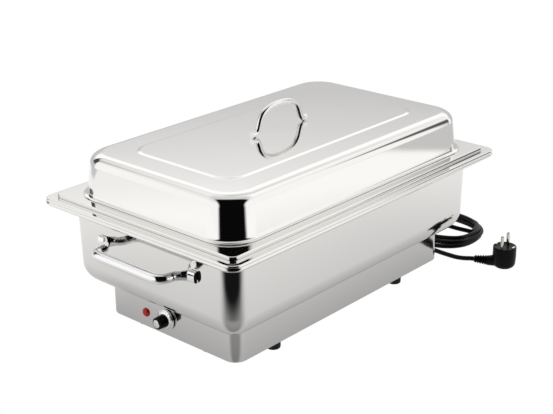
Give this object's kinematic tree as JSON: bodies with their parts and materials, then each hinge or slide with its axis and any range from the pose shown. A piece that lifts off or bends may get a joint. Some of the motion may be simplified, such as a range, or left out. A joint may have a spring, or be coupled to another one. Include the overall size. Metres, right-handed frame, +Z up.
{
  "type": "electric buffet server",
  "caption": "Electric chafing dish: heated water tub with a lift-out food pan, lift-off handled lid, turning thermostat knob, side handles, rubber feet and a coiled mains cord with a plug.",
  "frame": {"origin": "on the table, under the middle of the water tub", "axes": "+Z up, +Y along the length towards the end where the cord leaves, -Y towards the knob and the pilot lamp, X across the width"},
  "size_m": [0.3935, 0.7002, 0.2902],
  "materials": {
    "lid_steel": "mirror-polished 18/10 stainless steel",
    "pan_steel": "mirror-polished stainless steel",
    "tub_steel": "mirror-polished stainless steel",
    "base_steel": "polished stainless steel, slightly softer than the tub",
    "chrome": "polished chrome-plated steel bar",
    "zinc_steel": "zinc-plated steel",
    "dial_metal": null,
    "knob_plastic": "black heat-resistant plastic, satin gloss",
    "lamp_lens": "red translucent lens",
    "aluminium": "plain rolled",
    "brass": "plain turned",
    "copper": "drawn copper",
    "mineral_felt": "pressed mineral-fibre felt",
    "element_sheath": "heat-tinted stainless sheath",
    "ceramic": "glazed steatite",
    "brown_wire": "silicone insulation",
    "blue_wire": "silicone insulation",
    "green_wire": "silicone insulation, green and yellow",
    "cord_rubber": "black rubber cord jacket, light sheen",
    "plug_plastic": "moulded black plug body",
    "pin_nickel": "nickel-plated brass",
    "foot_rubber": "moulded rubber foot"
  },
  "bodies": {
    "base": {"base_housing": "base_steel", "base_plate": "zinc_steel", "base_plate_screw_1": "zinc_steel", "base_plate_screw_2": "zinc_steel", "base_plate_screw_3": "zinc_steel", "base_plate_screw_4": "zinc_steel", "capillary_bulb": "copper", "capillary_tube": "copper", "clamp_plate": "zinc_steel", "cord_inner_end": "cord_rubber", "cord_strain_relief": "cord_rubber", "earth_stud": "brass", "foot_1": "foot_rubber", "foot_2": "foot_rubber", "foot_3": "foot_rubber", "foot_4": "foot_rubber", "foot_screw_1": "zinc_steel", "foot_screw_2": "zinc_steel", "foot_screw_3": "zinc_steel", "foot_screw_4": "zinc_steel", "gland_nut": "knob_plastic", "handle_front": "chrome", "handle_rear": "chrome", "heat_spreader": "aluminium", "heater_nut_1": "zinc_steel", "heater_nut_2": "zinc_steel", "heating_element": "element_sheath", "insulation_felt": "mineral_felt", "pilot_holder": "knob_plastic", "pilot_lens": "lamp_lens", "plug_body": "plug_plastic", "plug_earth_clip_1": "pin_nickel", "plug_earth_clip_2": "pin_nickel", "plug_pin_1": "pin_nickel", "plug_pin_2": "pin_nickel", "power_cord_coil": "cord_rubber", "power_cord_lead_in": "cord_rubber", "power_cord_lead_out": "cord_rubber", "terminal_block": "ceramic", "thermal_cutout": "ceramic", "thermostat_body": "zinc_steel", "thermostat_bush": "brass", "tub_nut_1": "zinc_steel", "tub_nut_2": "zinc_steel", "tub_rail_1": "zinc_steel", "tub_rail_2": "zinc_steel", "water_tub": "tub_steel", "wire_earth": "green_wire", "wire_live": "brown_wire", "wire_neutral": "blue_wire", "wire_switched": "brown_wire"},
    "pan": {"food_pan": "pan_steel"},
    "lid": {"lid_shell": "lid_steel", "lid_handle": "chrome", "lid_handle_screw_1": "zinc_steel", "lid_handle_screw_2": "zinc_steel"},
    "knob": {"knob_skirt": "dial_metal", "knob_body": "knob_plastic", "knob_cap": "chrome", "thermostat_shaft": "zinc_steel"}
  },
  "joints": [
    {"name": "pan_lift", "type": "slide", "parent": "base", "child": "pan", "axis": [0, 0, 1], "range_m": [0, 0.12]},
    {"name": "lid_lift", "type": "slide", "parent": "pan", "child": "lid", "axis": [0, 0, 1], "range_m": [0, 0.2]},
    {"name": "knob_turn", "type": "hinge", "parent": "base", "child": "knob", "pos_m": [-0.0059, -0.2195, 0.0375], "axis": [0, 1, 0], "range_deg": [0, 270]}
  ]
}
